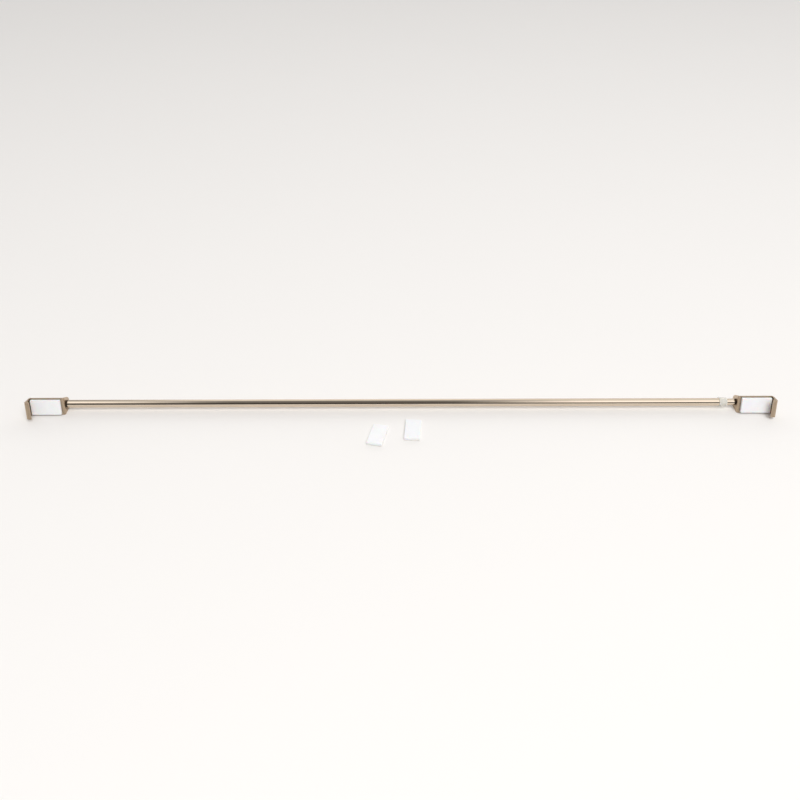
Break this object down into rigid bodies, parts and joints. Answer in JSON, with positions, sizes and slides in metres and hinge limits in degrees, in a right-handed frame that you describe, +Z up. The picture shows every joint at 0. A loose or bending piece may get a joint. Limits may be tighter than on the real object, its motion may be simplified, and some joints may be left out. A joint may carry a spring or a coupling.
{
  "type": "curtain rod with brackets",
  "caption": "Telescopic metal curtain rod with a swivelling hook bracket on each end, each faced with a foam pad, and loose spare pads.",
  "frame": {"origin": "on the table under the middle of the whole set, spare pads included", "axes": "+X along the rod from the fixed bracket to the telescoping one, -Y is where the bracket pads face, +Z up"},
  "size_m": [0.7548, 0.0694, 0.021],
  "materials": {
    "satin_nickel_tube": "satin champagne-nickel plating over thin steel tube",
    "satin_nickel_strip": "satin champagne-nickel plating over bent steel strip",
    "zinc_plated_steel": "bright zinc plating",
    "natural_nylon": "milky translucent moulded plastic",
    "white_nylon": "moulded",
    "black_nylon": "moulded",
    "white_foam": "die-cut closed-cell foam",
    "adhesive_film": "adhesive film or its liner"
  },
  "bodies": {
    "outer_tube_body": {"outer_tube": "satin_nickel_tube", "tube_collar": "natural_nylon", "left_tube_insert": "black_nylon", "left_screw_washer": "zinc_plated_steel", "left_bracket_screw": "zinc_plated_steel"},
    "left_bracket_body": {"left_bracket_strip": "satin_nickel_strip", "left_pad_adhesive": "adhesive_film", "left_foam_pad": "white_foam"},
    "glide_body": {"glide_plug": "white_nylon"},
    "inner_tube_body": {"inner_tube": "satin_nickel_tube", "right_tube_insert": "black_nylon", "right_screw_washer": "zinc_plated_steel", "right_bracket_screw": "zinc_plated_steel"},
    "right_bracket_body": {"right_bracket_strip": "satin_nickel_strip", "right_pad_adhesive": "adhesive_film", "right_foam_pad": "white_foam"},
    "spare_pad_1_body": {"spare_foam_pad_1": "white_foam", "spare_pad_liner_1": "adhesive_film"},
    "spare_pad_2_body": {"spare_foam_pad_2": "white_foam", "spare_pad_liner_2": "adhesive_film"}
  },
  "joints": [
    {"name": "rod_extension", "type": "slide", "parent": "outer_tube_body", "child": "glide_body", "axis": [1, 0, 0], "range_m": [-0.004, 0.5]},
    {"name": "tube_twist", "type": "hinge", "parent": "glide_body", "child": "inner_tube_body", "pos_m": [0, 0.02766, 0.007], "axis": [1, 0, 0], "continuous": true},
    {"name": "left_bracket_swivel", "type": "hinge", "parent": "outer_tube_body", "child": "left_bracket_body", "pos_m": [-0.3425, 0.02766, 0.007], "axis": [1, 0, 0], "continuous": true},
    {"name": "right_bracket_swivel", "type": "hinge", "parent": "inner_tube_body", "child": "right_bracket_body", "pos_m": [0.3425, 0.02766, 0.007], "axis": [1, 0, 0], "continuous": true},
    {"name": "spare_pad_1_lift", "type": "slide", "parent": "outer_tube_body", "child": "spare_pad_1_body", "axis": [0, 0, 1], "range_m": [0, 0.05]},
    {"name": "spare_pad_2_lift", "type": "slide", "parent": "outer_tube_body", "child": "spare_pad_2_body", "axis": [0, 0, 1], "range_m": [0, 0.05]}
  ]
}
